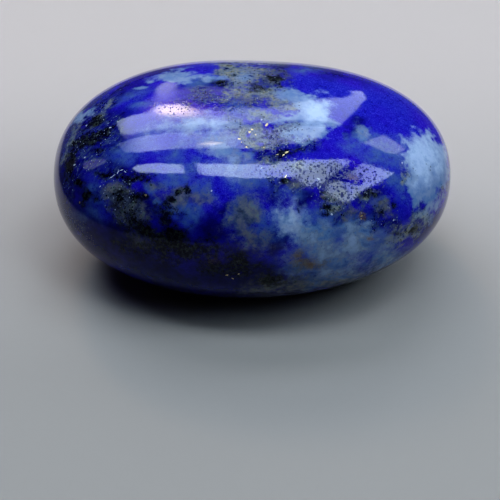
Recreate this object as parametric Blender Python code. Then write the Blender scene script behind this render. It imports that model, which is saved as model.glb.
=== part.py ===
"""A tumbled, polished lapis lazuli pebble: one solid stone that rests on a small flat spot.

Units are metres. The long axis lies along X, and the stone stands on the plane Z = 0 with the middle
of its outline over the origin. -Y is the side that faces the viewer.
"""

import math

import bmesh
import bpy
from mathutils import Vector

MM = 0.001

# Driving dimensions: half of the length, width and height before the foot is worn flat.
HALF_LENGTH = 12.5 * MM
HALF_WIDTH = 8.6 * MM
HALF_HEIGHT = 6.2 * MM

# 2 would be a true ellipsoid. Tumbling leaves a slightly squarer, fuller pebble.
FULLNESS = 2.23

# How much the flat spot takes off the underside.
FOOT_DEPTH = 0.2 * MM
FOOT_LEVEL = FOOT_DEPTH - HALF_HEIGHT

# Broad swellings and hollows that make the pebble uneven. Each is the compass angle of its middle
# (0 is +X, -90 the viewer's side), its angle above the horizon, both in degrees, and its height as a
# share of the radius there.
SWELLINGS = {
    "left_back_shoulder": (150, 35, 0.034),
    "right_front_cheek": (-35, -15, -0.036),
    "front_belly": (-90, -10, 0.014),
    "crown": (90, 50, -0.012),
}

# A swelling fades with this power of the cosine of the angle from its middle.
SWELLING_FALLOFF = 4

# The surface is a net of rings from the foot's rim up to the crown, with this many points in each.
RINGS = 32
POINTS_IN_RING = 88

# Halvings that find the angle of the foot's rim, to well under a micrometre.
RIM_HALVINGS = 24

# Polished ultramarine, as linear colour.
LAPIS_BLUE = (0.018, 0.022, 0.36, 1.0)
POLISH_ROUGHNESS = 0.07


def clear_scene():
    for obj in list(bpy.data.objects):
        bpy.data.objects.remove(obj)


def direction(compass_deg, height_deg):
    """The unit vector at this compass angle and this angle above the horizon."""
    compass = math.radians(compass_deg)
    height = math.radians(height_deg)
    level = math.cos(height)
    return Vector((level * math.cos(compass), level * math.sin(compass), math.sin(height)))


SWELLING_MIDDLES = [(direction(compass, height), share) for compass, height, share in SWELLINGS.values()]


def pebble_point(way):
    """The point of the surface that lies that way from the pebble's middle."""
    reach = (
        abs(way.x / HALF_LENGTH) ** FULLNESS
        + abs(way.y / HALF_WIDTH) ** FULLNESS
        + abs(way.z / HALF_HEIGHT) ** FULLNESS
    )
    radius = reach ** (-1 / FULLNESS)
    swelling = 1.0
    for middle, share in SWELLING_MIDDLES:
        swelling += share * max(0.0, way.dot(middle)) ** SWELLING_FALLOFF
    return way * radius * swelling


def point_at(turn, climb):
    """The surface point at these two angles of an even net over the pebble, in radians."""
    level = math.cos(climb)
    way = Vector(
        (
            HALF_LENGTH * level * math.cos(turn),
            HALF_WIDTH * level * math.sin(turn),
            HALF_HEIGHT * math.sin(climb),
        )
    )
    return pebble_point(way.normalized())


def rim_climb(turn):
    """The climb, below zero, at which the surface meets the foot's plane."""
    inside, outside = -math.pi / 2, 0.0
    for _ in range(RIM_HALVINGS):
        middle = (inside + outside) / 2
        if point_at(turn, middle).z < FOOT_LEVEL:
            inside = middle
        else:
            outside = middle
    return outside


def column_points(turn):
    """The points of one column, from the foot's rim to just under the crown."""
    rim = rim_climb(turn)
    climbs = [rim + (math.pi / 2 - rim) * ring / RINGS for ring in range(RINGS)]
    points = [point_at(turn, climb) for climb in climbs]
    points[0].z = FOOT_LEVEL
    return points


def add_skin(bm):
    """Adds the curved surface, open at the foot, and returns the rim's points in order."""
    turns = [2 * math.pi * step / POINTS_IN_RING for step in range(POINTS_IN_RING)]
    columns = [[bm.verts.new(point) for point in column_points(turn)] for turn in turns]
    crown = bm.verts.new(point_at(0.0, math.pi / 2))
    for here, following in zip(columns, columns[1:] + columns[:1]):
        for ring in range(RINGS - 1):
            bm.faces.new((here[ring], following[ring], following[ring + 1], here[ring + 1]))
        bm.faces.new((here[-1], following[-1], crown))
    return [column[0] for column in columns]


def stand_on_origin(bm):
    """Moves the pebble so that the middle of its outline is over the origin and its foot is at Z = 0."""
    across = [vert.co.x for vert in bm.verts]
    back = [vert.co.y for vert in bm.verts]
    middle_x = (min(across) + max(across)) / 2
    middle_y = (min(back) + max(back)) / 2
    bmesh.ops.translate(bm, verts=bm.verts[:], vec=(-middle_x, -middle_y, -FOOT_LEVEL))


def lapis_material():
    material = bpy.data.materials.new("polished_lapis")
    material.use_nodes = True
    shader = material.node_tree.nodes["Principled BSDF"]
    shader.inputs["Base Color"].default_value = LAPIS_BLUE
    shader.inputs["Roughness"].default_value = POLISH_ROUGHNESS
    shader.inputs["Metallic"].default_value = 0.0
    return material


def make_stone():
    bm = bmesh.new()
    rim = add_skin(bm)
    bm.faces.new(rim)
    stand_on_origin(bm)
    bmesh.ops.recalc_face_normals(bm, faces=bm.faces[:])
    mesh = bpy.data.meshes.new("lapis_stone")
    bm.to_mesh(mesh)
    bm.free()
    mesh.shade_smooth()
    mesh.materials.append(lapis_material())
    stone = bpy.data.objects.new("lapis_stone", mesh)
    bpy.context.scene.collection.objects.link(stone)
    return stone


clear_scene()
make_stone()
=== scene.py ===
"""Dresses the tumbled lapis lazuli stone: a fine mesh of the pebble, its minerals, soft lights, a pale
floor with painted light and shade, and the photo's camera.

Lengths are in millimetres, and become metres where they are handed to Blender.
"""

import math

import bpy
import numpy as np
from mathutils import Matrix, Vector, noise
from mathutils.bvhtree import BVHTree


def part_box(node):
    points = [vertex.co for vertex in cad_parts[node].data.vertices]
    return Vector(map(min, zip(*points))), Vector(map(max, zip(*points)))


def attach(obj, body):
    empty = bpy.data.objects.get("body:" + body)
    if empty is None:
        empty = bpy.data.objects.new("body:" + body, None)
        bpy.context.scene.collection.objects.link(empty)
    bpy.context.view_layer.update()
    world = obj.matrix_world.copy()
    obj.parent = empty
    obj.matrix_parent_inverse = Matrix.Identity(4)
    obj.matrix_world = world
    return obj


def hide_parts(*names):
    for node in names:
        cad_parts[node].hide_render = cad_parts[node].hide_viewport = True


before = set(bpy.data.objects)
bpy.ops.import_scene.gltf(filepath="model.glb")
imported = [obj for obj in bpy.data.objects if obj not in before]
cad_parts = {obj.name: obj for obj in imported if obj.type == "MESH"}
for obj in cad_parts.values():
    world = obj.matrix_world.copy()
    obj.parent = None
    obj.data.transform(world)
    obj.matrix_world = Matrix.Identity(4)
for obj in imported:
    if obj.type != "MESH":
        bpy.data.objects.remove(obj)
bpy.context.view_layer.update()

MM = 0.001
QUARTER_TURN = math.pi / 2

# The pebble's form, as in the model's source: half sizes before the foot is worn flat.
HALF_SIZES = (12.5, 8.6, 6.2)
FULLNESS = 2.23
FOOT_DEPTH = 0.2
SWELLING_FALLOFF = 4

# Compass angle (0 is +X, -90 the viewer's side), angle above the horizon, share of the radius.
SWELLINGS = {
    "left_back_shoulder": (150, 35, 0.034),
    "right_front_cheek": (-35, -15, -0.036),
    "front_belly": (-90, -10, 0.014),
    "crown": (90, 50, -0.012),
}

# The foot's edge is rounded over this height.
FOOT_ROUNDING = 0.1

# The fine net: steps from the middle of the foot to the crown, and points in each ring.
NET_STEPS = 240
POINTS_IN_RING = 380

# The bake map's two ovals: their middles, the lower half's first, and their half width and height.
MAP_MIDDLES = ((0.5, 0.25), (0.5, 0.75))
MAP_HALF_SIZE = (0.48, 0.24)

# The photo's view. Frame sizes are in the plane through the pebble's middle.
VIEW_ELEVATION = 40
VIEW_DISTANCE = 120
FRAME_WIDTH = 31.49
MIDDLE_RIGHT_OF_FRAME = 0.28
MIDDLE_ABOVE_FRAME = 4.62
SENSOR_WIDTH = 36
NEAREST_SEEN = 1.2
FARTHEST_SEEN = 4000

# A patch that reaches the outline goes on over the edge, to about this depth.
BACK_REACH = 8

# The highest and lowest value of a field, in feathers.
FIELD_LIMIT = 2.0

# Patches of mineral. Each is (right, up, half length, half width, tilt, feather): where it shows in the
# photo's view, in mm from the frame's middle, its size in mm, its tilt in degrees, and the depth of its
# uneven edge in mm.
DEEP = {
    "left_shoulder": (-9.9, 7.0, 2.6, 1.9, 45, 0.8),
    "left_edge": (-11.4, 4.6, 2.0, 1.0, 85, 0.5),
    "left_rim_high": (-12.1, 4.4, 2.2, 0.7, 82, 0.5),
    "left_rim": (-11.5, 2.2, 2.2, 0.9, -55, 0.5),
    "left_rim_low": (-9.6, 0.3, 2.4, 0.9, -38, 0.5),
    "upper_left": (-8.3, 9.9, 1.6, 0.5, 30, 0.8),
    "top_left": (-6.0, 11.2, 1.5, 0.25, 12, 0.3),
    "left_band": (-8.4, 5.2, 1.4, 0.5, 0, 0.5),
    "left_low": (-10.3, 2.0, 1.6, 1.0, -40, 0.7),
    "left_lowest": (-7.6, 0.4, 3.4, 1.5, -28, 0.9),
    "olive_ground": (-6.4, 2.8, 1.4, 0.9, -30, 0.7),
    "centre_left_low": (-4.8, 0.9, 2.6, 1.2, -12, 0.9),
    "centre_low": (-2.3, 1.3, 1.6, 0.9, -10, 0.7),
    "centre_lowest": (-0.6, 0.0, 1.5, 0.6, 0, 0.6),
    "left_middle": (-10.2, 3.6, 1.5, 1.0, -70, 0.7),
    # Down the bottom and underside, these darken the stone towards the bottom, partly as painted shade.
    "bottom_left": (-5.5, -1.6, 3.7, 1.2, -14, 0.7),
    "bottom": (-0.6, -1.6, 4.2, 1.5, -3, 0.7),
    "bottom_right": (3.0, -2.3, 3.2, 0.8, 5, 0.6),
    "underside": (-1.5, -3.1, 7.5, 1.0, 0, 0.6),
    "right_underside": (8.0, -1.5, 2.6, 0.8, 32, 0.5),
    "right_rim": (11.4, 1.6, 1.8, 0.5, 50, 0.4),
    "cloud_foot": (6.2, -1.5, 2.0, 0.35, 8, 0.4),
    "cloud_left_edge": (1.6, 0.5, 0.8, 0.8, 0, 0.6),
    "centre_high": (-1.8, 2.6, 0.6, 0.5, 0, 0.5),
    "left_of_cluster": (-5.8, 4.0, 0.5, 0.3, 0, 0.4),
    "upper_centre": (-2.7, 10.3, 1.6, 0.3, 3, 0.4),
    "top_centre": (1.9, 11.5, 0.8, 0.25, 0, 0.3),
    "top_right": (5.0, 11.2, 1.6, 0.25, -14, 0.4),
    "above_pale_spot": (6.9, 8.05, 0.5, 0.35, 0, 0.4),
    "beside_pale_spot": (6.3, 7.4, 0.25, 0.4, 0, 0.3),
    "band_right": (0.7, 5.95, 0.4, 0.35, 0, 0.3),
    "under_strip_left": (1.6, 3.3, 0.9, 0.35, -20, 0.5),
    "under_strip": (3.4, 3.3, 0.7, 0.7, 0, 0.4),
    "cloud_bay": (5.7, 1.85, 0.35, 0.3, 0, 0.25),
    "strip_right": (4.5, 4.7, 1.9, 0.6, 0, 0.4),
    "under_windows": (7.6, 3.5, 0.8, 0.3, 12, 0.4),
    "right_bay": (7.8, 2.2, 0.5, 0.6, 0, 0.4),
    "right_low_spot": (9.3, 1.4, 0.4, 0.4, 0, 0.3),
}
AZURE = {
    "upper_left_wisp": (-7.5, 9.65, 0.8, 0.14, 22, 0.25),
    "upper_left_wisp_low": (-6.9, 9.15, 0.5, 0.12, 5, 0.2),
    "left_teal_blotch": (-7.8, 6.2, 1.0, 0.5, 10, 0.7),
    "left_low_blotch": (-9.8, 4.0, 0.5, 0.5, 0, 0.7),
    "left_lower_blotch": (-9.6, 2.9, 0.6, 0.3, 20, 0.7),
    "left_far_blotch": (-10.0, 2.2, 0.7, 0.4, 0, 0.6),
    "under_strip": (-4.6, 4.3, 1.3, 0.7, 0, 0.5),
    "small_dot": (-5.75, 3.05, 0.22, 0.22, 0, 0.12),
    "left_of_olive": (-6.1, 3.8, 0.5, 0.3, -30, 0.3),
    "below_olive": (-4.3, 2.6, 1.1, 0.4, 5, 0.4),
    "below_olive_right": (-3.6, 2.1, 0.5, 0.6, 10, 0.5),
    "centre_low_left": (-3.1, 3.8, 0.7, 0.5, -20, 0.6),
    "centre_low": (0.3, 4.1, 0.9, 0.4, 0, 0.6),
    "centre_cloud": (-0.2, 2.2, 1.2, 1.1, 60, 0.6),
    "centre_cloud_right": (0.7, 1.6, 0.8, 0.8, 0, 0.7),
    "cloud_left_fringe": (1.8, 1.9, 0.4, 0.7, 0, 0.6),
    "blue_band_left": (-4.9, 6.0, 0.7, 0.5, 0, 0.5),
    "blue_band_gap": (-3.8, 5.1, 0.35, 0.5, 0, 0.4),
    "right_field": (8.4, 5.9, 1.5, 0.5, -12, 0.5),
    "right_spot": (6.9, 7.1, 0.6, 0.6, 0, 0.4),
    "right_field_high": (8.5, 6.6, 1.2, 0.4, -12, 0.5),
    "right_end_fringe": (9.5, 4.2, 0.8, 0.9, 0, 0.5),
    "top_low_left": (-0.9, 9.2, 0.7, 0.4, 0, 0.4),
    "cloud_ground": (5.1, 0.9, 2.4, 1.5, -15, 0.6),
    "cloud_high": (4.7, 2.0, 0.7, 0.6, 0, 0.4),
    "cloud_fringe": (6.6, 1.5, 1.3, 0.8, 0, 0.5),
    "cloud_right": (8.1, 0.1, 1.2, 1.1, 0, 0.6),
    "cloud_low": (4.9, -1.1, 2.4, 0.9, -4, 0.6),
    "bottom_fringe": (5.2, -2.0, 1.8, 0.45, 8, 0.4),
    "comet_root": (2.2, 9.7, 0.8, 0.4, 0, 0.3),
    "top_left_low": (-3.2, 10.45, 0.8, 0.3, 0, 0.3),
    "top_streak": (3.5, 11.3, 0.8, 0.15, 0, 0.2),
    "top_speckle": (1.0, 10.7, 0.4, 0.35, 0, 0.3),
    "top_spot": (0.2, 9.6, 0.6, 0.3, 0, 0.3),
    "below_strip": (2.6, 3.7, 0.7, 0.3, 0, 0.4),
}
SPECKLE = {
    "left_shoulder": (-10.0, 6.9, 2.1, 1.5, 45, 0.7),
    "left_high": (-9.3, 9.0, 1.3, 0.7, 45, 0.5),
    "left_low": (-8.2, 4.6, 1.7, 0.6, -5, 0.5),
    "left_edge": (-11.2, 5.0, 1.4, 0.4, 85, 0.3),
    "olive_left": (-8.2, 3.2, 1.5, 1.0, -40, 0.6),
    "upper_centre": (-2.8, 9.6, 1.3, 0.55, 0, 0.5),
    "upper_centre_right": (-1.2, 9.7, 0.7, 0.6, 0, 0.5),
    "centre_left": (-0.9, 8.0, 0.7, 0.6, 0, 0.4),
    "centre_right": (1.9, 7.0, 0.9, 0.7, 0, 0.5),
    "top_right": (1.3, 10.6, 1.0, 0.7, 0, 0.5),
    "top_low": (0.4, 9.4, 0.9, 0.4, 0, 0.4),
    "under_comet": (3.5, 6.7, 0.8, 0.35, 0, 0.4),
    "pocket_ground": (1.6, 6.0, 1.3, 0.5, 5, 0.4),
    "under_pitted": (5.4, 2.8, 1.3, 0.8, -30, 0.6),
    "under_windows": (7.9, 3.0, 0.9, 0.4, -10, 0.6),
    "right_low": (8.7, 1.6, 0.9, 0.5, 0, 0.6),
    "rust_ground": (7.1, 1.95, 0.5, 0.45, 0, 0.4),
    "right_corner": (10.6, 1.9, 0.9, 0.5, 40, 0.4),
    "below_strip": (2.2, 4.1, 0.9, 0.5, 0, 0.5),
}
OLIVE = {
    "left": (-8.2, 3.4, 1.1, 0.9, -35, 0.4),
    "left_middle": (-7.4, 2.4, 1.3, 0.9, -45, 0.5),
    "left_low": (-6.8, 1.4, 1.2, 0.8, -40, 0.6),
    "left_of_cluster": (-5.7, 3.9, 0.5, 0.25, -20, 0.4),
    "cluster": (-4.1, 3.25, 1.3, 0.6, 4, 0.4),
    "centre_cloud": (-0.4, 2.0, 1.5, 0.95, 65, 0.8),
    "centre_cloud_low": (-0.3, 1.1, 1.0, 0.6, -35, 0.7),
    "centre_cloud_foot": (0.2, 0.8, 0.7, 0.5, -20, 0.7),
    "below_strip": (2.9, 4.15, 0.7, 0.25, 0, 0.3),
    "pitted_right": (5.6, 3.6, 0.9, 0.55, -25, 0.35),
    "beside_cloud": (6.5, 2.35, 0.45, 0.5, 20, 0.35),
    "under_windows": (8.3, 2.7, 0.7, 0.4, -20, 0.4),
    "cloud_brown": (3.6, -0.8, 1.0, 0.45, -12, 0.5),
    "bottom_right": (1.8, -2.3, 1.8, 0.6, 4, 0.5),
    "bottom_far_right": (5.8, -2.0, 1.2, 0.3, 8, 0.3),
    "top_left": (-1.4, 11.35, 0.7, 0.35, 0, 0.25),
    "top_centre": (0.5, 9.6, 1.0, 0.3, 0, 0.3),
    "top_right": (1.4, 10.7, 0.6, 0.45, 0, 0.4),
}
MATRIX = {
    "centre": (0.4, 7.1, 1.1, 0.75, 0, 0.3),
    "centre_left": (-0.8, 7.3, 0.6, 0.35, 0, 0.35),
    "above_centre": (0.8, 8.5, 1.0, 0.35, 0, 0.3),
    "top_left": (-1.3, 11.3, 0.8, 0.45, 0, 0.3),
    "top_middle": (-0.3, 10.9, 1.2, 0.85, 0, 0.4),
    "top_edge": (0.2, 11.8, 1.6, 0.2, 0, 0.3),
    "top_centre_low": (0.8, 9.9, 1.0, 0.35, 0, 0.4),
    "top_low_left": (-1.3, 9.9, 0.5, 0.4, 0, 0.4),
    "beside_window": (1.8, 9.4, 0.7, 0.3, 0, 0.3),
    "comet_beige": (2.7, 9.05, 0.8, 0.28, 5, 0.2),
    "comet_beige_low": (3.0, 7.6, 1.0, 0.4, 0, 0.3),
    "centre_right": (2.3, 7.5, 0.5, 0.3, 0, 0.4),
    "under_pocket": (1.4, 5.6, 0.8, 0.25, 0, 0.3),
    "strip_right": (2.9, 5.3, 1.3, 0.3, 0, 0.3),
    "pitted_low": (5.2, 2.7, 0.6, 0.5, 0, 0.5),
    "right_beige": (9.9, 1.15, 1.0, 0.5, 30, 0.35),
    "right_beige_low": (9.2, 0.65, 0.7, 0.25, 20, 0.3),
    "right_beige_far": (10.8, 2.1, 0.6, 0.35, 20, 0.35),
    "right_grey": (7.4, 3.4, 0.3, 0.2, 0, 0.2),
    "right_end_grey": (10.1, 4.7, 0.35, 0.6, 0, 0.4),
    "right_end_spot": (11.2, 5.0, 0.25, 0.3, 0, 0.2),
    "right_end_olive": (9.7, 4.4, 0.2, 0.35, 0, 0.2),
    "right_edge": (12.1, 3.9, 0.3, 0.6, 0, 0.3),
    "left_rim_band": (-11.25, 6.9, 1.0, 0.13, 68, 0.15),
    "left_rim_low": (-11.6, 5.9, 0.5, 0.12, 60, 0.15),
    "left_high_streak": (-9.5, 8.35, 0.6, 0.12, 50, 0.15),
    "left_higher_streak": (-9.1, 8.9, 0.5, 0.12, 60, 0.15),
}
CLOUD = {
    "right_pale_spot": (6.95, 7.35, 0.5, 0.3, -65, 0.25),
    "centre_left_high": (-3.2, 7.8, 2.0, 0.45, 3, 0.5),
    "centre_left": (-1.9, 6.9, 1.6, 0.65, -8, 0.6),
    "centre_left_low": (-0.8, 5.9, 0.75, 0.7, 0, 0.4),
    "centre_left_lowest": (-0.9, 5.15, 1.2, 0.3, 0, 0.5),
    "band_pale": (0.0, 5.7, 0.6, 0.4, 0, 0.3),
    "top_centre": (0.7, 8.5, 1.0, 0.3, 0, 0.3),
    "cloud_left": (2.4, 1.95, 0.65, 0.75, 0, 0.3),
    "cloud_neck": (3.5, 1.2, 1.2, 0.75, -30, 0.35),
    "cloud_middle": (4.4, 0.5, 1.4, 0.95, -20, 0.4),
    "cloud_right": (6.9, 0.85, 1.3, 0.85, 0, 0.4),
    "cloud_low": (5.4, -0.45, 2.1, 0.9, -3, 0.45),
    "cloud_lower": (5.0, -1.5, 1.6, 0.5, 4, 0.5),
    "cloud_lowest": (8.2, -0.5, 0.9, 0.4, 25, 0.5),
    "cloud_foot_left": (2.9, -1.1, 0.5, 0.7, 0, 0.6),
    "right_bay": (8.0, 3.0, 0.5, 0.35, 0, 0.4),
}
MILK = {
    "left_streak": (-10.5, 8.45, 0.8, 0.17, 36, 0.12),
    "top_left_streak": (-4.3, 10.85, 1.7, 0.26, 1, 0.18),
    "top_left_hump": (-4.3, 11.2, 0.7, 0.28, 5, 0.2),
    "top_left_end": (-2.6, 10.7, 0.5, 0.2, 5, 0.15),
    "top_middle": (-1.8, 10.75, 0.4, 0.15, 0, 0.2),
    "top_centre": (-0.4, 10.85, 0.4, 0.2, 0, 0.3),
    "centre_left": (-1.5, 6.25, 0.45, 0.25, 0, 0.4),
    "upper_left_fleck": (-6.9, 10.2, 0.35, 0.07, 5, 0.08),
    "upper_left_fleck_high": (-6.25, 10.6, 0.25, 0.09, 5, 0.1),
    "comet_head": (4.0, 8.75, 0.9, 0.9, 0, 0.35),
    "comet_middle": (3.4, 9.35, 1.2, 0.5, -22, 0.3),
    "comet_tail": (2.5, 9.9, 0.9, 0.4, -14, 0.3),
    "comet_left": (2.7, 8.25, 1.1, 0.35, 5, 0.25),
    "comet_low": (3.9, 7.6, 0.85, 0.65, 15, 0.35),
    "comet_low_left": (2.9, 7.3, 0.9, 0.45, 0, 0.4),
    "comet_point": (5.2, 8.05, 0.5, 0.2, -15, 0.2),
    "right_end_low": (11.1, 3.5, 1.4, 0.85, 88, 0.4),
    "right_end_ground": (11.1, 5.3, 2.1, 1.4, 88, 0.25),
}
CALCITE = {
    "right_end_high": (10.65, 6.6, 0.95, 0.95, 80, 0.3),
    "right_end": (10.8, 5.6, 1.3, 0.9, 88, 0.4),
    "right_end_far": (11.6, 5.8, 1.0, 0.5, 75, 0.5),
    "comet_head": (4.1, 8.75, 0.7, 0.7, 0, 0.6),
    "centre_left_high": (-2.6, 7.9, 1.0, 0.22, 3, 0.5),
    "cloud_left": (2.5, 2.1, 0.5, 0.6, 0, 0.9),
}
DARK = {
    "gold_pocket": (2.2, 6.15, 0.6, 0.23, 12, 0.2),
    "pocket_right": (2.9, 6.3, 0.4, 0.15, 10, 0.2),
    "top_core": (0.5, 10.15, 0.45, 0.2, 0, 0.2),
    "top_right_core": (1.65, 10.7, 0.4, 0.4, 0, 0.25),
    "top_left_core": (-1.9, 10.45, 0.5, 0.14, 0, 0.15),
    "top_speck": (-0.95, 11.0, 0.15, 0.08, 0, 0.1),
    "left_core_high": (-9.9, 8.1, 0.9, 0.22, 30, 0.2),
    "left_core": (-9.1, 7.4, 0.55, 0.34, 30, 0.25),
    "left_core_middle": (-9.6, 7.3, 0.8, 0.28, 15, 0.2),
    "left_core_low": (-10.3, 6.9, 0.9, 0.35, 25, 0.25),
    "left_core_lowest": (-9.6, 6.3, 0.5, 0.2, 20, 0.25),
    "left_edge_core": (-11.3, 5.5, 1.0, 0.28, 80, 0.2),
    "left_edge_low": (-10.9, 4.3, 0.3, 0.3, 0, 0.25),
    "left_blotch": (-10.45, 3.4, 0.25, 0.5, 0, 0.25),
    "left_spot": (-9.7, 3.1, 0.2, 0.2, 0, 0.2),
    "left_low_core": (-7.5, 4.6, 1.1, 0.4, -5, 0.4),
    "left_low_far": (-9.2, 4.7, 0.4, 0.2, 0, 0.25),
    "olive_core": (-8.1, 3.2, 0.35, 0.7, 0, 0.4),
    "olive_core_right": (-7.1, 3.3, 0.5, 0.35, -30, 0.4),
    "olive_core_middle": (-7.4, 2.0, 0.6, 0.4, -50, 0.5),
    "olive_core_low": (-6.6, 1.3, 1.7, 0.7, -30, 0.6),
    "olive_cluster_core": (-4.45, 3.6, 0.2, 0.18, 0, 0.1),
    "olive_cluster_left": (-4.95, 3.2, 0.3, 0.18, 0, 0.15),
    "olive_cluster_right": (-3.85, 3.75, 0.25, 0.3, 0, 0.2),
    "below_dot": (-5.3, 2.2, 0.5, 0.7, 10, 0.5),
    "centre_left_low": (-4.7, 1.0, 1.0, 0.8, 0, 0.7),
    "fleck_ground": (-6.6, 3.4, 0.35, 0.25, 0, 0.2),
    "strip_core": (2.15, 4.35, 0.3, 0.25, 0, 0.15),
    "below_strip_core": (2.97, 2.58, 0.18, 0.12, -30, 0.1),
    "below_strip_core_low": (3.15, 2.33, 0.1, 0.16, 0, 0.1),
    "pitted_core": (4.5, 3.7, 0.22, 0.14, 0, 0.12),
    "pitted_core_middle": (4.7, 3.25, 0.35, 0.16, 0, 0.15),
    "pitted_core_low": (4.8, 2.65, 0.35, 0.2, 0, 0.15),
    "pitted_core_lowest": (4.7, 2.2, 0.25, 0.15, 0, 0.15),
    "right_core": (7.4, 3.65, 0.5, 0.2, 10, 0.2),
    "right_core_far": (9.1, 2.9, 0.2, 0.2, 0, 0.25),
    "right_core_low": (8.25, 2.4, 0.2, 0.12, 0, 0.15),
    "right_specks": (9.3, 1.05, 0.3, 0.1, 0, 0.12),
    "right_beige_specks": (10.3, 1.3, 0.3, 0.2, 40, 0.2),
    # These paint the bottom near black, partly as painted shade.
    "bottom_left": (-4.2, 0.0, 3.2, 0.8, -8, 0.8),
    "bottom": (-1.0, -1.2, 2.0, 0.5, 0, 0.7),
    "bottom_right": (1.2, -1.9, 1.2, 0.3, 0, 0.5),
}
RUST = {
    "right_spot": (7.05, 2.05, 0.3, 0.25, 0, 0.15),
    "pitted": (4.65, 3.35, 0.2, 0.12, 0, 0.12),
    "cloud": (3.7, -0.8, 0.5, 0.25, -10, 0.4),
    "cloud_left": (3.0, -0.5, 0.3, 0.2, 0, 0.3),
    "cloud_right": (7.6, 0.65, 0.25, 0.12, 0, 0.12),
    "left_edge": (-11.3, 5.4, 0.3, 0.2, 80, 0.3),
    "bottom": (-2.3, -0.6, 0.3, 0.2, 0, 0.3),
    "window_left": (6.4, 4.5, 0.3, 0.14, -25, 0.2),
}
BLUE = {
    "comet_window": (1.75, 8.7, 0.42, 0.24, -15, 0.1),
    "window_streak": (2.3, 8.45, 0.35, 0.08, -5, 0.08),
    "centre_dot": (-0.1, 7.25, 0.15, 0.12, 30, 0.08),
    "centre_low_spot": (0.8, 6.7, 0.3, 0.12, 0, 0.1),
    "band_end": (-0.25, 6.2, 0.35, 0.12, 0, 0.12),
    "band_right": (0.7, 5.95, 0.4, 0.35, 0, 0.2),
    "centre_high_spot": (1.3, 7.85, 0.35, 0.15, 0, 0.15),
    "top_spot": (0.3, 9.55, 0.45, 0.2, 0, 0.2),
    "band": (-4.2, 5.95, 2.3, 0.45, 0, 0.25),
    "cloud_spot_high": (4.1, 2.0, 0.5, 0.25, 0, 0.25),
    "cloud_spot": (5.7, 0.8, 0.4, 0.35, 0, 0.3),
    "cloud_gap_right": (7.3, -0.7, 0.25, 0.5, 15, 0.3),
    "cloud_edge_right": (9.0, 0.0, 0.35, 0.35, 0, 0.3),
    "cloud_foot": (3.2, -1.7, 0.6, 0.25, 0, 0.4),
    "cloud_bay": (5.7, 1.9, 0.35, 0.3, 0, 0.25),
    "right_bay": (10.75, 2.75, 0.3, 0.3, 0, 0.2),
    "right_edge": (11.6, 2.4, 0.2, 0.25, 0, 0.2),
    "right_low_bay": (9.9, 1.9, 0.3, 0.2, 0, 0.2),
    "right_violet": (10.7, 1.7, 0.25, 0.25, 0, 0.2),
    "right_end_left": (9.5, 6.0, 0.3, 0.7, 0, 0.15),
    "right_end_corner": (11.65, 7.4, 0.8, 0.5, -55, 0.2),
    "cloud_left_edge": (2.1, 0.6, 0.9, 0.75, -10, 0.35),
    "under_strip": (3.4, 3.3, 0.7, 0.6, 0, 0.3),
    "under_strip_left": (1.7, 3.4, 0.7, 0.4, 0, 0.4),
    "upper_left": (-8.5, 8.9, 0.5, 0.5, 0, 0.4),
    "right_field": (8.0, 8.8, 3.2, 1.3, -35, 0.4),
    "right_field_low": (5.6, 6.7, 0.8, 1.1, 0, 0.3),
    "window_violet": (6.8, 4.4, 0.6, 0.35, -25, 0.15),
}

# Where the polish is pitted with tiny holes.
PITTED = {
    "hot_spot": (-4.6, 8.7, 1.4, 0.5, 0, 0.6),
    "strip": (3.6, 5.0, 2.9, 0.7, 0, 0.5),
    "strip_low": (4.0, 4.5, 1.0, 0.5, 0, 0.4),
    "window": (7.6, 4.7, 1.5, 0.7, -10, 0.5),
    "below_window": (6.0, 3.8, 1.3, 0.7, 0, 0.5),
    "centre": (1.2, 7.2, 1.8, 0.9, 0, 0.5),
    "upper_centre": (-1.0, 9.3, 2.6, 0.8, 0, 0.6),
    "left_edge": (-10.9, 1.6, 1.5, 0.4, -50, 0.5),
}

# Where it also has larger pocks, which are painted darker as shade in them.
POCKED = {
    "strip_right": (4.4, 4.85, 1.8, 0.55, -5, 0.4),
    "strip_low": (4.3, 4.25, 0.9, 0.35, 5, 0.3),
    "window": (7.2, 4.6, 1.2, 0.5, -25, 0.4),
    "window_low": (5.7, 3.7, 0.9, 0.6, -25, 0.5),
    "centre": (1.7, 7.3, 1.3, 0.6, 0, 0.5),
}

# Small flecks, each (right, up, half length, half width, tilt). The white ones are painted glints,
# the thinnest of them the glint of a nick.
GOLD_FLECKS = (
    (-0.68, 7.0, 0.13, 0.06, -10), (-0.53, 6.78, 0.05, 0.045, 0), (-0.02, 7.42, 0.1, 0.07, 30),
    (0.12, 7.6, 0.1, 0.06, -20), (0.35, 7.27, 0.04, 0.04, 0), (1.05, 7.9, 0.06, 0.14, -40),
    (0.88, 6.45, 0.05, 0.04, 0), (-0.2, 6.5, 0.07, 0.04, 0), (2.3, 6.15, 0.14, 0.05, 30),
    (2.1, 5.97, 0.09, 0.035, 25), (1.7, 6.0, 0.06, 0.03, 0), (2.25, 4.65, 0.11, 0.05, 60),
    (-6.55, 3.45, 0.1, 0.07, 20), (-10.73, 3.0, 0.04, 0.08, 0), (-1.45, -1.58, 0.14, 0.04, 10),
    (-1.1, -1.78, 0.08, 0.035, -40), (-0.7, -1.5, 0.08, 0.04, 20), (7.05, 2.15, 0.09, 0.035, 30),
    (7.0, 1.95, 0.06, 0.03, -20),
)
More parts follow.
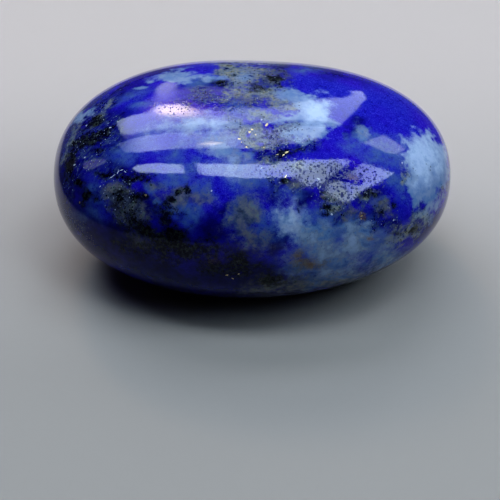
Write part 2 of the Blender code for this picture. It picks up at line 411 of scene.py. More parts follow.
PAINTED_GLINT_FLECKS = (
    (-8.8, 7.72, 0.08, 0.05, 30), (-10.3, 7.85, 0.05, 0.045, 0), (-8.68, 4.63, 0.22, 0.03, 35),
    (-8.3, 4.92, 0.14, 0.025, 60), (-8.1, 5.04, 0.12, 0.025, 15), (-7.88, 4.94, 0.1, 0.025, -35),
    (-9.45, 4.0, 0.08, 0.03, 50), (-11.05, 5.35, 0.07, 0.045, 40), (-10.4, 5.83, 0.07, 0.04, 60),
    (-2.42, 3.72, 0.045, 0.045, 0), (0.72, 5.18, 0.05, 0.05, 0), (0.72, 8.22, 0.05, 0.04, 0),
    (9.6, 5.48, 0.05, 0.06, 0), (9.05, 1.88, 0.06, 0.04, 60), (5.15, 2.25, 0.07, 0.06, 0),
    (4.4, 3.97, 0.08, 0.04, 50), (4.3, 4.5, 0.1, 0.05, -20),
)

# Linear colours of the minerals.
MIDNIGHT = (0.009, 0.008, 0.035)
NAVY = (0.012, 0.011, 0.10)
ROYAL_BLUE = (0.038, 0.016, 0.39)
COBALT_BLUE = (0.026, 0.025, 0.35)
BRIGHT_BLUE = (0.08, 0.08, 0.62)
AZURE_BLUE = (0.055, 0.085, 0.34)
TEAL_BLUE = (0.09, 0.145, 0.28)
MILKY_BLUE = (0.14, 0.225, 0.40)
MILKY_GREY = (0.25, 0.33, 0.45)
CLOUD_GREY = (0.18, 0.225, 0.30)
CALCITE_BLUE = (0.29, 0.395, 0.58)
CALCITE_WHITE = (0.45, 0.57, 0.72)
GREY_GREEN = (0.14, 0.175, 0.155)
GREY_LILAC = (0.17, 0.19, 0.27)
BEIGE = (0.28, 0.275, 0.21)
DARK_OLIVE = (0.05, 0.048, 0.036)
MOSS = (0.10, 0.115, 0.045)
ASH = (0.16, 0.148, 0.125)
BLACK = (0.006, 0.006, 0.008)
RUST_BROWN = (0.15, 0.085, 0.03)
GOLD = (0.55, 0.44, 0.23)
# The pale colour of the painted glints, which stand in for glints of light.
PAINTED_GLINT_WHITE = (0.48, 0.53, 0.60)

# Colours that change smoothly inside a mineral: where each starts in a smooth noise from 0 to 1.
SPECKLE_TONES = (
    (0.32, BLACK), (0.42, NAVY), (0.49, (0.022, 0.024, 0.20)), (0.54, (0.042, 0.052, 0.095)),
    (0.59, (0.075, 0.10, 0.18)), (0.64, NAVY), (0.72, (0.05, 0.06, 0.25)),
)
OLIVE_TONES = (
    (0.34, DARK_OLIVE), (0.43, (0.075, 0.08, 0.085)), (0.51, (0.115, 0.12, 0.13)), (0.58, ASH),
    (0.66, GREY_GREEN),
)
CLOUD_TONES = (
    (0.36, TEAL_BLUE), (0.43, MILKY_BLUE), (0.50, CLOUD_GREY), (0.56, (0.23, 0.30, 0.41)),
    (0.64, (0.26, 0.35, 0.51)),
)
MATRIX_TONES = (
    (0.32, BLACK), (0.38, (0.03, 0.035, 0.16)), (0.43, (0.11, 0.14, 0.10)), (0.48, GREY_LILAC),
    (0.53, GREY_GREEN), (0.58, BEIGE), (0.63, MOSS), (0.70, NAVY),
)
CALCITE_TONES = (
    (0.36, CALCITE_BLUE), (0.46, CALCITE_WHITE), (0.56, (0.42, 0.53, 0.70)), (0.68, CALCITE_BLUE),
)
DARK_TONES = (
    (0.48, BLACK), (0.56, (0.03, 0.032, 0.026)), (0.62, (0.05, 0.058, 0.028)), (0.68, BLACK),
)

# Which mineral follows which haze through its tones.
MANY_TONES = {
    "cloud": ("soft", CLOUD_TONES),
    "speckle": ("streaked", SPECKLE_TONES),
    "olive": ("fine", OLIVE_TONES),
    "matrix": ("fine", MATRIX_TONES),
    "calcite": ("soft", CALCITE_TONES),
    "dark": ("grainy", DARK_TONES),
}

# Minerals of two tones: the noise that they follow, where in it the change starts and ends, the tones.
TWO_TONES = {
    "blue": ("drift", -0.6, 0.6, ROYAL_BLUE, COBALT_BLUE),
    "deep": ("veil", -0.9, 0.9, MIDNIGHT, NAVY),
    "azure": ("veil", -0.8, 0.4, AZURE_BLUE, TEAL_BLUE),
    "milk": ("veil", -0.8, 0.8, MILKY_BLUE, MILKY_GREY),
}

# Noises from about -1 to 1, and hazes from 0 to 1: patterns to a mm, and levels of detail.
NOISES = {"drift": (0.22, 2), "wisps": (0.9, 6), "grit": (4.0, 4), "dust": (13.0, 1), "veil": (1.7, 4)}
HAZES = {"soft": (1.1, 7), "fine": (1.8, 6), "streaked": (4.4, 6), "grainy": (4.5, 5)}
HAZE_ROUGHNESS = 0.62
NOISE_MIDDLE = 0.5
WANDER_GAIN = 4.0

# Mottling: how each pattern counts, where their sum starts to show and is full, how much it then
# covers, and its colour.
BLUE_MOTTLING = (
    ({"grit": 0.3, "dust": 0.7, "wisps": 0.2}, -0.1, 1.0, 0.75, BRIGHT_BLUE),
    ({"grit": 0.5, "dust": 0.6, "wisps": 0.3}, -0.1, -1.0, 0.8, NAVY),
)
ROCK_MOTTLING = (({"grit": 0.5, "dust": 0.7, "pale": 0.9}, -0.2, -1.3, 0.5, NAVY),)

# Grains: cells to a mm, the share of cells that hold one, its size as a share of the cell, the pattern
# that it lies in, how strongly its colour shows, and the colour.
GRAINS = {
    "dark_grains": (7.0, 0.2, 0.5, "rock", 1.0, BLACK),
    # The glints are painted highlights: pale grains in the speckled rock that stand in for glints of light.
    "painted_glints": (10.0, 0.07, 0.45, "speckle", 0.7, PAINTED_GLINT_WHITE),
    # Pits and pocks are painted darker, as shade in small holes; they are also rougher, and the pits
    # bumped.
    "pits": (8.5, 0.35, 0.5, "holes", 0.6, BLACK),
    "pocks": (4.5, 0.55, 0.58, "pocked", 0.85, NAVY),
}

# A grain's full middle as a share of its size, how softly cells are chosen, and the pits elsewhere.
GRAIN_CORE = 0.5
LUCK_STEP = 0.05
STRAY_PITS = 0.02

# Flecks: where they lie, how far their edge follows the grit, where it starts and is full, their colour.
FLECKS = {
    # The white flecks are painted highlights; the gold ones are metallic pyrite.
    "white": (PAINTED_GLINT_FLECKS, 0.3, -0.1, 0.3, PAINTED_GLINT_WHITE),
    "gold": (GOLD_FLECKS, 0.35, 0.0, 0.35, GOLD),
}

# The polish: its own roughness, what makes it rougher, and its bump, as weights of patterns.
POLISH = 0.03
ROUGHER = {"pits": 0.5, "pocks": 0.5, "gold": 0.3, "rust": 0.8, "dark": 0.06}
REFRACTION = 1.5
BUMPS = {"wisps": 0.2, "grit": 0.1, "pits": -2.0}
BUMP_STRENGTH = 0.5
BUMP_HEIGHT = 0.01

# The patches of each mineral, and the minerals that the islands of plain blue cut into.
MINERALS = dict(
    deep=DEEP, azure=AZURE, speckle=SPECKLE, olive=OLIVE, cloud=CLOUD, matrix=MATRIX, milk=MILK,
    calcite=CALCITE, rust=RUST, dark=DARK, pitted=PITTED, pocked=POCKED,
)
CUT_BY_BLUE = ("cloud", "olive", "matrix", "milk", "calcite")

# How each mineral's edge follows these noises, how soft it is, and how much it covers, lowest first.
EDGE_NOISES = ("wisps", "grit", "dust")
LAYERS = {
    "deep": (0.5, 0.25, 0.1, 1.0, 0.92),
    "azure": (0.6, 0.25, 0.15, 1.2, 0.85),
    "cloud": (0.6, 0.25, 0.15, 1.1, 0.88),
    "speckle": (0.7, 0.5, 0.35, 0.7, 0.9),
    "olive": (0.6, 0.4, 0.25, 0.9, 0.85),
    "matrix": (0.7, 0.38, 0.2, 0.8, 0.88),
    "milk": (0.5, 0.25, 0.15, 0.7, 0.9),
    "calcite": (0.5, 0.25, 0.12, 1.2, 0.9),
    "rust": (0.5, 0.5, 0.4, 0.8, 0.7),
    "dark": (0.6, 0.5, 0.4, 0.7, 0.92),
    "pitted": (0.3, 0.2, 0.0, 0.6, 1.0),
    "pocked": (0.4, 0.3, 0.2, 0.6, 1.0),
}

# The side that the photo hides: how many patches to a mm, the level of noise where a patch starts, how
# sharp its edge is, and a shift that sets the layout. Minerals with the same shift grow together.
FAR_SIDE = {
    "deep": (0.20, 0.10, 3.0, 5.7),
    "azure": (0.30, 0.20, 4.0, 11.3),
    "cloud": (0.20, 0.35, 4.0, 37.9),
    "speckle": (0.26, 0.30, 5.0, 93.2),
    "olive": (0.30, 0.48, 5.0, 47.1),
    "matrix": (0.26, 0.62, 5.0, 71.5),
    "milk": (0.20, 0.46, 5.0, 37.9),
    "calcite": (0.20, 0.55, 5.0, 37.9),
    "rust": (0.50, 0.75, 5.0, 23.7),
    "dark": (0.40, 0.50, 6.0, 55.1),
    "pitted": (0.25, 0.30, 5.0, 71.5),
    "pocked": (0.30, 0.55, 5.0, 83.7),
}

# How tight that layout is along each axis, and its noise: smoothness, step and levels of detail.
FAR_STRETCH = (0.8, 1.0, 1.2)
FAR_NOISE = (0.9, 2.0, 3)

# How far past the outline the photo's own layout gives way to that one.
HIDDEN_EDGE = 0.3

# Bends in the outlines of patches: bends to a mm, and their size as a share of the patch's half width,
# which counts up to a limit in mm.
BENDS = ((0.6, 0.9), (1.5, 0.8), (3.5, 0.6))
BEND_LIMIT = 0.5
SEED = 2

# The rock around the blue polishes a little lower and less even: depth in mm, waves to a mm, the level
# that they swing about, and how far outside its patches that starts, in feathers.
SOFT_ROCK = ("olive", "matrix", "dark", "speckle")
RELIEF_DEPTH = 0.008
RELIEF_WAVES = 1.7
RELIEF_LEVEL = 0.4
RELIEF_REACH = 0.5

# How deep a fleck goes along the line of sight.
FLECK_DEPTH = 1.5

# How far the edges of grains and flecks wander, in mm, and the noise that they follow.
UNEVENNESS = 0.12
JITTER = (7.0, 2)

# Streaks in the speckled rock rise to the right, and are this much longer than wide.
STREAK_TILT = 42
STREAK_STRETCH = 2.6

# The soft lights: glowing panes on one level, as corners (x, y) in order.
LIGHT_LEVEL = 300
PANES = {
    "near_left": ("near", (
        (-236, -2), (-203, 9), (-155, 6), (-99, -7), (-100, -55), (-149, -50), (-217, -30),
    )),
    "near_middle": ("near", (
        (-74, -5), (-2, -11), (44, 0), (146, 28), (162, 23), (140, -64), (111, -155), (60, -80),
        (5, -84), (-73, -63),
    )),
    "near_right": ("beside", (
        (195, 18), (300, 8), (393, -2), (328, -128), (317, -195), (327, -315), (282, -325), (205, -250),
        (155, -175), (146, -140), (168, -108), (207, -118), (238, -141), (262, -135), (256, -103),
        (234, -77), (203, -70), (182, -55),
    )),
    "near_far_left": ("faint", (
        (-815, 246), (-727, 276), (-482, 191), (-356, 132), (-364, 89), (-478, 97),
    )),
    "middle": ("middle", (
        (-262, 180), (-146, 160), (-53, 142), (11, 164), (96, 201), (80, 114), (20, 77), (-36, 64),
        (-125, 70), (-187, 80), (-240, 105),
    )),
    "bar": ("faint", (
        (-257, 250), (-208, 200), (-104, 181), (-31, 180), (11, 166), (-53, 144), (-146, 162),
        (-239, 187),
    )),
    "far": ("far", (
        (-302, 393), (-209, 352), (-162, 323), (-156, 375), (-79, 324), (-66, 272), (-10, 293),
        (23, 326), (56, 385), (97, 436), (119, 459), (167, 522), (220, 668), (207, 718), (317, 980),
        (256, 640), (194, 455), (150, 317), (122, 220), (110, 247), (22, 215), (-31, 182), (-104, 183),
        (-208, 202), (-257, 252),
    )),
    "far_right": ("dim", (
        (180, 141), (258, 257), (419, 246), (338, 152), (279, 124),
    )),
}
GLOWS = {
    "near": ((0.60, 0.76, 1.0), 8.2),
    "beside": ((0.60, 0.76, 1.0), 8.2),
    "middle": ((0.62, 0.74, 1.0), 7.2),
    "far": ((0.68, 0.80, 1.0), 5.3),
    "dim": ((0.72, 0.84, 1.0), 3.1),
    "faint": ((0.70, 0.70, 1.0), 1.3),
}

# Where a glow fades along x: from x, to x, and the share that is left.
FADES = {
    "near": ((70, 150, 0.85),),
    "beside": ((320, 190, 0.68),),
    "middle": ((-140, -250, 0.25), (-170, -60, 0.58)),
    "far": ((-220, -310, 0.55), (-170, -60, 0.62)),
}

# Soft-edged oval lights: middle (x, y), length, width, compass angle of the length, and glow.
SPOTS = {
    "hot_spot": ((-103, 295), 128, 58, 126, ((1.0, 0.74, 0.42), 15.0)),
    "hot_halo": ((-98, 290), 200, 100, 126, ((1.0, 0.68, 0.78), 1.8)),
    "streak": ((-44, 87), 30, 14, 15, ((1.0, 0.80, 0.60), 9.0)),
    "farthest": ((-154, 590), 520, 64, 97, ((0.80, 0.84, 1.0), 2.9)),
    "veil": ((-85, 415), 230, 170, 0, ((0.80, 0.85, 1.0), 1.1)),
}

# The ovals of one light: their sizes as shares of it, and the step down to each.
SPOT_SOFTNESS = (1.2, 1.05, 0.9, 0.75, 0.6)
SPOT_STEP = 1

# The room's light from low in front, from low behind, and from above, and where one gives way to the
# next, in parts of a direction's y and z.
ROOM_FRONT = (0.02, 0.02, 0.025)
ROOM_BACK = (0.065, 0.065, 0.07)
ROOM_CEILING = (0.02, 0.02, 0.03)
ROOM_FRONT_TO_BACK = (-0.3, 0.8)
ROOM_LOW_TO_HIGH = (0.1, 0.5)

# The floor grows paler from a line in front of the stone to one behind it, as painted light and shade,
# and fades to grey far from it, as painted shade, at twice the distance in depth.
FLOOR_REACH = 2000
FLOOR_NEAR = (0.33, 0.295, 0.24)
FLOOR_BEHIND = (0.56, 0.47, 0.385)
FLOOR_FAR = (0.07, 0.063, 0.055)
FLOOR_PALING = (-15, 25)
FLOOR_FADE = (25, 31)
FLOOR_DEPTH_SHARE = 0.5
FLOOR_ROUGHNESS = 0.8

# The photo's own contrast: how bright the darkest tones are, and how bright they show.
SHADOW_TONES = ((0.02, 0.005), (0.05, 0.03), (0.12, 0.108), (0.3, 0.295))
CURVE_OF_ALL_COLOURS = 3


def direction(compass_deg, height_deg):
    """The unit vector at this compass angle and this angle above the horizon."""
    compass = math.radians(compass_deg)
    height = math.radians(height_deg)
    level = math.cos(height)
    return np.array((level * math.cos(compass), level * math.sin(compass), math.sin(height)))


def pebble_points(ways):
    """The surface's points that lie in these directions from the pebble's middle."""
    reach = sum((np.abs(ways[:, axis]) / half) ** FULLNESS for axis, half in enumerate(HALF_SIZES))
    radii = reach ** (-1 / FULLNESS)
    swelling = np.ones(len(ways))
    for compass, height, share in SWELLINGS.values():
        swelling += share * np.clip(ways @ direction(compass, height), 0, None) ** SWELLING_FALLOFF
    return ways * (radii * swelling)[:, None]


def net_angles():
    """The turn and climb of every point of the net, from the middle of the foot to the crown."""
    climbs = np.linspace(-QUARTER_TURN, QUARTER_TURN, NET_STEPS + 1)[1:-1]
    turns = np.arange(POINTS_IN_RING) * (math.tau / POINTS_IN_RING)
    ring_climbs = np.repeat(climbs, POINTS_IN_RING)
    ring_turns = np.tile(turns, len(climbs))
    all_turns = np.concatenate(((0,), ring_turns, (0,)))
    all_climbs = np.concatenate(((-QUARTER_TURN,), ring_climbs, (QUARTER_TURN,)))
    return all_turns, all_climbs


def net_faces():
    """The faces between the rings: three-sided at the foot's middle and the crown, four-sided elsewhere."""
    faces = []
    rings = NET_STEPS - 1
    crown = 1 + rings * POINTS_IN_RING
    last = crown - POINTS_IN_RING
    for step in range(POINTS_IN_RING):
        following = (step + 1) % POINTS_IN_RING
        faces.append((0, 1 + following, 1 + step))
        for ring in range(rings - 1):
            low = 1 + ring * POINTS_IN_RING
            high = low + POINTS_IN_RING
            faces.append((low + step, low + following, high + following, high + step))
        faces.append((last + step, last + following, crown))
    return faces


def stone_points(turns, climbs):
    """The net's points in mm, with the foot worn flat and the stone standing where the model stands."""
    ways = np.column_stack((np.cos(climbs) * np.cos(turns), np.cos(climbs) * np.sin(turns), np.sin(climbs)))
    ways *= HALF_SIZES
    ways /= np.linalg.norm(ways, axis=1)[:, None]
    points = pebble_points(ways)
    foot_level = FOOT_DEPTH - HALF_SIZES[2]
    above = points[:, 2] - foot_level
    rounding = np.clip(FOOT_ROUNDING - np.abs(above), 0, None) ** 2 / (4 * FOOT_ROUNDING)
    points[:, 2] = foot_level + np.clip(above, 0, None) + rounding
    low, high = (np.array(corner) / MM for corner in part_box("lapis_stone"))
    middle = np.array((*(points.min(axis=0) + points.max(axis=0))[:2] / 2, foot_level))
    place = np.array((*(low + high)[:2] / 2, low[2]))
    return points + place - middle, place - middle


def bake_map(mesh, turns, climbs):
    """A map of two ovals, the upper half of the stone over the lower half, that meet at its girth."""
    loops = np.empty(len(mesh.loops), dtype=np.int32)
    mesh.loops.foreach_get("vertex_index", loops)
    sides = np.empty(len(mesh.polygons), dtype=np.int32)
    mesh.polygons.foreach_get("loop_total", sides)
    starts = np.concatenate(((0,), np.cumsum(sides)[:-1]))
    centre_climbs = np.add.reduceat(climbs[loops], starts) / sides
    upper = np.repeat(centre_climbs > 0, sides)
    reach = 1 - np.abs(climbs[loops]) / QUARTER_TURN
    across = np.where(upper, 1, -1) * reach * np.cos(turns[loops])
    along = reach * np.sin(turns[loops])
    places = np.array(MAP_MIDDLES)[upper.astype(int)] + np.column_stack((across, along)) * MAP_HALF_SIZE
    layer = mesh.uv_layers.new(name="OFBake")
    layer.data.foreach_set("uv", places.astype(np.float32).ravel())


class View:
    """The photo's view: its directions, the camera's place, and the frame's mm for any point."""

    def __init__(self, stone_middle):
        tilt = math.radians(VIEW_ELEVATION)
        self.right = np.array((1.0, 0.0, 0.0))
        self.up = np.array((0.0, math.sin(tilt), math.cos(tilt)))
        self.back = np.array((0.0, -math.cos(tilt), math.sin(tilt)))
        aim = stone_middle - MIDDLE_ABOVE_FRAME * self.up - MIDDLE_RIGHT_OF_FRAME * self.right
        self.place = aim + VIEW_DISTANCE * self.back
        self.turn = Matrix(np.column_stack((self.right, self.up, self.back)))

    def turned(self, tilt):
        """The turn of a thing that faces the camera and is tilted by these degrees."""
        return (self.turn @ Matrix.Rotation(math.radians(tilt), 3, "Z")).to_euler()

    def frame_mm(self, points):
        """How far right and up of the frame's middle these points show."""
        offsets = points - self.place
        scale = VIEW_DISTANCE / -(offsets @ self.back)
        return offsets @ self.right * scale, offsets @ self.up * scale

    def facing(self, points, normals):
        """1 where the surface faces the camera, 0 on the outline, below 0 behind it."""
        towards = self.place - points
        towards /= np.linalg.norm(towards, axis=1)[:, None]
        return (towards * normals).sum(axis=1)

    def surface_point(self, right, up, tree):
        """The point of the stone that shows here in the frame."""
        aim = self.right * right + self.up * up - self.back * VIEW_DISTANCE
        found = tree.ray_cast(Vector(self.place), Vector(aim))
        return found[0]


def bends(points):
    """Two smooth random values for each point, which bend the outlines of patches."""
    noise.seed_set(SEED)
    values = np.zeros((len(points), 3))
    for per_mm, share in BENDS:
        values += share * np.array([noise.noise_vector(place) for place in points * per_mm])
    return values[:, 0], values[:, 1]


def patch_field(patches, right, up, away, bend):
    """Above 0 inside the patches, below 0 outside, in steps of each patch's feather."""
    field = np.full(len(right), -FIELD_LIMIT)
    for middle_right, middle_up, half_length, half_width, tilt, feather in patches.values():
        turn = math.radians(tilt)
        across = right - middle_right
        above = up - middle_up
        reach = min(half_width, BEND_LIMIT)
        along = across * math.cos(turn) + above * math.sin(turn) + bend[0] * reach
        beside = above * math.cos(turn) - across * math.sin(turn) + bend[1] * reach
        mean_half_size = (half_length + half_width) / 2
        behind = away / mean_half_size
        distance = np.sqrt((along / half_length) ** 2 + (beside / half_width) ** 2 + behind**2)
        patch = (1 - distance) * min(half_length, half_width) / feather
        field = np.maximum(field, patch)
    return np.minimum(field, FIELD_LIMIT)


def far_field(points, kind):
    """The same kind of field for the side that the photo hides, from smooth noise."""
    scale, level, sharpness, shift = FAR_SIDE[kind]
    places = points * (np.array(FAR_STRETCH) * scale) + shift
    values = np.array([noise.fractal(place, *FAR_NOISE) for place in places])
    return np.clip((values - level) * sharpness, -FIELD_LIMIT, FIELD_LIMIT)


def mineral_fields(points, normals, view):
    """One field for each mineral, with a value for each point."""
    right, up = view.frame_mm(points)
    facing = view.facing(points, normals)
    away = BACK_REACH * np.clip(-facing, 0, None)
    near = np.clip(1 + facing / HIDDEN_EDGE, 0, 1)
    bend = bends(points)
    islands = patch_field(BLUE, right, up, away, bend)
    fields = {}
    for kind, patches in MINERALS.items():
        shown = patch_field(patches, right, up, away, bend)
        if kind in CUT_BY_BLUE:
            shown = np.minimum(shown, -islands)
        fields[kind] = near * shown + (1 - near) * far_field(points, kind)
    return fields


def relief(points, fields):
    """How deep each point sinks, in mm: the softer rock polishes a little lower and less even."""
    soft = np.maximum.reduce([fields[kind] for kind in SOFT_ROCK])
    share = np.clip(RELIEF_REACH + soft, 0, 1)
    waves = np.array([noise.noise(place) for place in points * RELIEF_WAVES])
    return RELIEF_DEPTH * share * (RELIEF_LEVEL + waves)


def point_normals(mesh):
    normals = np.empty(len(mesh.vertices) * 3)
    mesh.vertex_normals.foreach_get("vector", normals)
    return normals.reshape(-1, 3)


def add_object(name, data):
    thing = bpy.data.objects.new(name, data)
    bpy.context.scene.collection.objects.link(thing)
    return thing


def add_face(name, corners, level, material):
    """One flat face with these corners, on this level."""
    mesh = bpy.data.meshes.new(name)
    points = [(x * MM, y * MM, level * MM) for x, y in corners]
    mesh.from_pydata(points, [], [tuple(range(len(points)))])
    mesh.materials.append(material)
    return add_object(name, mesh)


def make_stone():
    """The fine pebble, its bake map and its fields of minerals; also the photo's view of it."""
    turns, climbs = net_angles()
    points, middle = stone_points(turns, climbs)
    mesh = bpy.data.meshes.new("polished_lapis")
    mesh.from_pydata((points * MM).tolist(), [], net_faces())
    mesh.shade_smooth()
    bake_map(mesh, turns, climbs)
    view = View(middle)
    normals = point_normals(mesh)
    fields = mineral_fields(points, normals, view)
    points -= normals * relief(points, fields)[:, None]
    mesh.vertices.foreach_set("co", (points * MM).astype(np.float32).ravel())
    mesh.update()
    for kind, field in fields.items():
        attribute = mesh.attributes.new(kind, "FLOAT", "POINT")
        attribute.data.foreach_set("value", field.astype(np.float32))
    stone = add_object("polished_lapis", mesh)
    tree = BVHTree.FromPolygons(points.tolist(), net_faces())
    mesh.materials.append(lapis_material(view, tree))
    return stone, view


class Graph:
    """Adds nodes to a tree. A value is a number, a colour, a vector or another node's output."""

    def __init__(self, tree):
        self.tree = tree
        tree.nodes.clear()

    def add(self, kind, values=(), **settings):
        node = self.tree.nodes.new("ShaderNode" + kind)
        for name, setting in settings.items():
            setattr(node, name, setting)
        for name, value in dict(values).items():
            socket = node.inputs[name]
            if isinstance(value, bpy.types.NodeSocket):
                self.tree.links.new(value, socket)
            elif socket.type == "RGBA":
                socket.default_value = (*value, 1)
            else:
                socket.default_value = value
        return node

    def calc(self, operation, *values):
        return self.add("Math", enumerate(values), operation=operation).outputs[0]

    def product(self, first, *others):
        result = first
        for value in others:
            result = self.calc("MULTIPLY", result, value)
        return result

    def total(self, patterns, weights, base=0.0):
        """The base, plus each weighted pattern."""
        result = base
        for name, weight in weights.items():
            result = self.calc("MULTIPLY_ADD", patterns[name], weight, result)
        return result

    def mix(self, share, low, high):
        """A colour between two. The Mix node knows its colour sockets by number: 6, 7 and output 2."""
        return self.add("Mix", {0: share, 6: low, 7: high}, data_type="RGBA").outputs[2]

    def rise(self, value, start, end, low=0.0, high=1.0):
        """Low before start and high past end, with a soft step between."""
        values = {"Value": value, "From Min": start, "From Max": end, "To Min": low, "To Max": high}
        return self.add("MapRange", values, interpolation_type="SMOOTHSTEP").outputs["Result"]

    def place(self):
        return self.add("TexCoord").outputs["Object"]

    def parts(self, vector):
        return self.add("SeparateXYZ", {0: vector}).outputs

    def field(self, name):
        return self.add("Attribute", attribute_name=name).outputs["Fac"]

    def haze(self, place, per_mm, detail):
        """Smooth noise from 0 to 1."""
        values = {"Vector": place, "Scale": per_mm, "Detail": detail, "Roughness": HAZE_ROUGHNESS}
        return self.add("TexNoise", values).outputs["Fac"]

    def wander(self, place, per_mm, detail):
        """Smooth noise from about -1 to 1."""
        haze = self.haze(place, per_mm, detail)
        return self.calc("MULTIPLY_ADD", haze, WANDER_GAIN, -WANDER_GAIN * NOISE_MIDDLE)

    def grains(self, place, per_mm, share, size):
        """1 in round grains: the share of cells that hold one, and its size as a share of the cell."""
        cell = self.add("TexVoronoi", {"Vector": place, "Scale": per_mm})
        luck = self.add("SeparateColor", {0: cell.outputs["Color"]}).outputs[0]
        round_grain = self.rise(cell.outputs["Distance"], size, size * GRAIN_CORE)
        chosen = self.rise(luck, 1 - share - LUCK_STEP, 1 - share + LUCK_STEP)
        return self.product(round_grain, chosen)

    def tones(self, value, stops):
        """A smooth change of colour: stops are pairs of a value and its colour."""
        ramp = self.add("ValToRGB", {0: value})
        elements = ramp.color_ramp.elements
        elements.remove(elements[1])
        for index, (start, colour) in enumerate(stops):
            element = elements[0] if index == 0 else elements.new(start)
            element.position = start
            element.color = (*colour, 1)
        return ramp.outputs["Color"]

    def mottle(self, colour, patterns, mottlings):
        """The colour with spots of others, as the mottlings say."""
        for weights, start, end, most, spot_colour in mottlings:
            spots = self.rise(self.total(patterns, weights), start, end, high=most)
            colour = self.mix(spots, colour, spot_colour)
        return colour


def new_material(name):
    """An empty material, and the graph of its nodes."""
    material = bpy.data.materials.new(name)
    material.use_nodes = True
    return material, Graph(material.node_tree)


def uneven_place(graph, place):
    """The place, shifted a little here and there."""
    per_mm, detail = JITTER
    jitter = graph.add("TexNoise", {"Vector": place, "Scale": per_mm, "Detail": detail}).outputs["Color"]
    shift = graph.add("VectorMath", {0: jitter, 1: (NOISE_MIDDLE,) * 3}, operation="SUBTRACT").outputs[0]
    values = {0: shift, 1: (UNEVENNESS,) * 3, 2: place}
    return graph.add("VectorMath", values, operation="MULTIPLY_ADD").outputs[0]


def rock_patterns(graph, place):
    """The noises, and how much of each point each mineral, pit and pock covers, by name."""
    patterns = {name: graph.wander(place, *settings) for name, settings in NOISES.items()}
    for kind, (*shares, softness, most) in LAYERS.items():
        edge = graph.total(patterns, dict(zip(EDGE_NOISES, shares)), base=graph.field(kind))
        patterns[kind] = graph.rise(edge, -softness, softness, high=most)
    patterns["pale"] = graph.calc("MAXIMUM", patterns["milk"], patterns["calcite"])
    patterns["rock"] = graph.calc("MAXIMUM", patterns["matrix"], patterns["speckle"])
    patterns["holes"] = graph.total(patterns, {"pitted": 1 - STRAY_PITS}, base=STRAY_PITS)
    return patterns


def mineral_colours(graph, place, patterns, view):
    """Each mineral's own colour."""
    colours = {"rust": RUST_BROWN}
    for kind, (pattern, start, end, low, high) in TWO_TONES.items():
        colours[kind] = graph.mix(graph.rise(patterns[pattern], start, end), low, high)
    values = {"Vector": place, "Rotation": view.turned(STREAK_TILT), "Scale": (STREAK_STRETCH, 1, 1)}
    places = {"streaked": graph.add("Mapping", values, vector_type="TEXTURE").outputs[0]}
    hazes = {name: graph.haze(places.get(name, place), *settings) for name, settings in HAZES.items()}
    for kind, (haze, stops) in MANY_TONES.items():
        colours[kind] = graph.tones(hazes[haze], stops)
    return colours


def sprinkle(graph, colour, place, patterns, kind):
    """The colour with one kind of grain over it. The grain's pattern joins the others."""
    per_mm, share, size, ground, strength, grain_colour = GRAINS[kind]
    patterns[kind] = graph.product(graph.grains(place, per_mm, share, size), patterns[ground])
    return graph.mix(graph.product(patterns[kind], strength), colour, grain_colour)


def fleck_field(graph, place, flecks, view, tree):
    """Above 0 inside the flecks."""
    nearest = None
    for right, up, half_length, half_width, tilt in flecks:
        values = {
            "Vector": place,
            "Location": view.surface_point(right, up, tree),
            "Rotation": view.turned(tilt),
            "Scale": (half_length, half_width, FLECK_DEPTH),
        }
        inside = graph.add("Mapping", values, vector_type="TEXTURE").outputs[0]
        distance = graph.add("VectorMath", {0: inside}, operation="LENGTH").outputs["Value"]
        nearest = distance if nearest is None else graph.calc("MINIMUM", nearest, distance)
    return graph.calc("SUBTRACT", 1.0, nearest)


def lapis_material(view, tree):
    """Polished lapis: blue lazurite, milky calcite, grey-green matrix, dark grains and gold flecks."""
    material, graph = new_material("lapis_lazuli")
    values = {0: graph.place(), "Scale": 1 / MM}
    place = graph.add("VectorMath", values, operation="SCALE").outputs[0]
    uneven = uneven_place(graph, place)
    patterns = rock_patterns(graph, place)
    colours = mineral_colours(graph, place, patterns, view)

    colour = graph.mottle(colours["blue"], patterns, BLUE_MOTTLING)
    for kind in LAYERS:
        if kind in colours:
            colour = graph.mix(patterns[kind], colour, colours[kind])
    colour = graph.mottle(colour, patterns, ROCK_MOTTLING)
    colour = sprinkle(graph, colour, uneven, patterns, "dark_grains")
    # Painted highlights: pale grains that stand in for glints of light.
    colour = sprinkle(graph, colour, uneven, patterns, "painted_glints")
    # The white flecks are painted highlights that stand in for glints; the gold flecks are metallic.
    for kind, (flecks, grit_share, start, end, fleck_colour) in FLECKS.items():
        field = fleck_field(graph, uneven, flecks, view, tree)
        patterns[kind] = graph.rise(graph.total(patterns, {"grit": grit_share}, base=field), start, end)
        colour = graph.mix(patterns[kind], colour, fleck_colour)
    # Painted shade: pits and pocks darken the colour, as shade in small holes.
    colour = sprinkle(graph, colour, place, patterns, "pits")
    colour = sprinkle(graph, colour, uneven, patterns, "pocks")

    height = graph.total(patterns, BUMPS)
    bump = graph.add("Bump", {"Strength": BUMP_STRENGTH, "Distance": BUMP_HEIGHT * MM, "Height": height})
    values = {
        "Base Color": colour,
        "Roughness": graph.total(patterns, ROUGHER, base=POLISH),
        "Metallic": patterns["gold"],
        "IOR": REFRACTION,
        "Normal": bump.outputs[0],
    }
    shader = graph.add("BsdfPrincipled", values)
    graph.add("OutputMaterial", {"Surface": shader.outputs[0]})
    return material


def glow_material(name, colour, radiance):
    material, graph = new_material(name)
    x = graph.parts(graph.place())["X"]
    for start, end, share in FADES.get(name, ()):
        fade = graph.rise(x, start * MM, end * MM, low=1.0, high=share)
        radiance = graph.product(radiance, fade)
    glow = graph.add("Emission", {"Color": colour, "Strength": radiance})
    graph.add("OutputMaterial", {"Surface": glow.outputs[0]})
    return material


def add_panes():
    """The soft lights: flat glowing panes above and behind the stone."""
    glows = {name: glow_material(name, *glow) for name, glow in GLOWS.items()}
    for name, (glow, corners) in PANES.items():
        pane = add_face(name, corners, LIGHT_LEVEL, glows[glow])
        pane.visible_camera = False


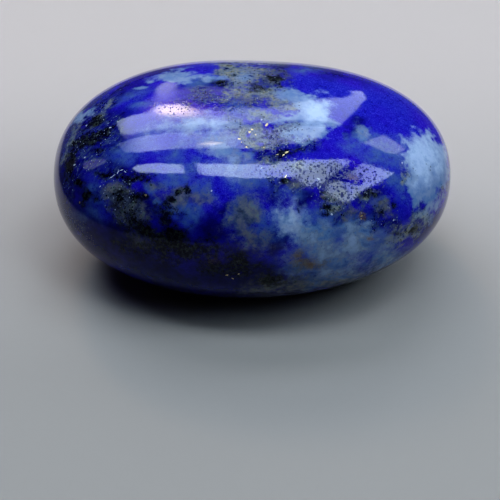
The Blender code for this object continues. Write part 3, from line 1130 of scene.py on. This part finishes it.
def add_spots():
    """The oval lights: each is a few ovals, one inside the other, so that its edge is soft."""
    for name, ((x, y), length, width, turn, (colour, radiance)) in SPOTS.items():
        for level, size in enumerate(SPOT_SOFTNESS, start=1):
            light = bpy.data.lights.new(name, "AREA")
            light.shape = "ELLIPSE"
            light.size = length * size * MM
            light.size_y = width * size * MM
            light.color = colour
            area = math.pi / 4 * light.size * light.size_y
            light.energy = radiance / len(SPOT_SOFTNESS) * math.pi * area
            lamp = add_object(name, light)
            lamp.location = (x * MM, y * MM, (LIGHT_LEVEL - level * SPOT_STEP) * MM)
            lamp.rotation_euler.z = math.radians(turn)
            lamp.visible_camera = False


def light_world():
    """A dim room that is paler behind the stone, low down."""
    world = bpy.data.worlds.new("soft_room")
    world.use_nodes = True
    graph = Graph(world.node_tree)
    parts = graph.parts(graph.add("TexCoord").outputs["Generated"])
    level = graph.mix(graph.rise(parts["Y"], *ROOM_FRONT_TO_BACK), ROOM_FRONT, ROOM_BACK)
    colour = graph.mix(graph.rise(parts["Z"], *ROOM_LOW_TO_HIGH), level, ROOM_CEILING)
    background = graph.add("Background", {"Color": colour})
    graph.add("OutputWorld", {"Surface": background.outputs[0]})
    bpy.context.scene.world = world


def floor_material():
    material, graph = new_material("pale_floor")
    place = graph.place()
    values = {0: place, 1: (1, FLOOR_DEPTH_SHARE, 1)}
    squeezed = graph.add("VectorMath", values, operation="MULTIPLY").outputs[0]
    distance = graph.add("VectorMath", {0: squeezed}, operation="LENGTH").outputs["Value"]
    front, behind = (y * MM for y in FLOOR_PALING)
    nearest, farthest = (reach * MM for reach in FLOOR_FADE)
    # Painted light and shade: paler behind the stone, darker in front and far away.
    paling = graph.rise(graph.parts(place)["Y"], front, behind)
    pale = graph.mix(paling, FLOOR_NEAR, FLOOR_BEHIND)
    colour = graph.mix(graph.rise(distance, nearest, farthest), pale, FLOOR_FAR)
    shader = graph.add("BsdfPrincipled", {"Base Color": colour, "Roughness": FLOOR_ROUGHNESS})
    graph.add("OutputMaterial", {"Surface": shader.outputs[0]})
    return material


def add_floor():
    """A pale floor at the height of the stone's foot, with painted light and shade."""
    corners = [(x * FLOOR_REACH, y * FLOOR_REACH) for x, y in ((-1, -1), (1, -1), (1, 1), (-1, 1))]
    floor = add_face("floor", corners, 0, floor_material())


def add_camera(view):
    data = bpy.data.cameras.new("photo_view")
    data.sensor_width = SENSOR_WIDTH
    data.lens = SENSOR_WIDTH * VIEW_DISTANCE / FRAME_WIDTH
    data.clip_start = NEAREST_SEEN * MM
    data.clip_end = FARTHEST_SEEN * MM
    camera = add_object("photo_view", data)
    camera.matrix_world = Matrix.Translation(Vector(view.place) * MM) @ view.turn.to_4x4()
    bpy.context.scene.camera = camera


def set_tones():
    """Plain colours, with the photo's deep shadows."""
    settings = bpy.context.scene.view_settings
    settings.view_transform = "Standard"
    settings.use_curve_mapping = True
    brightness = settings.curve_mapping.curves[CURVE_OF_ALL_COLOURS]
    for tone, shown in SHADOW_TONES:
        brightness.points.new(tone, shown)
    settings.curve_mapping.update()


set_tones()
stone, photo_view = make_stone()
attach(stone, "root")
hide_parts("lapis_stone")
add_floor()
add_panes()
add_spots()
light_world()
add_camera(photo_view)
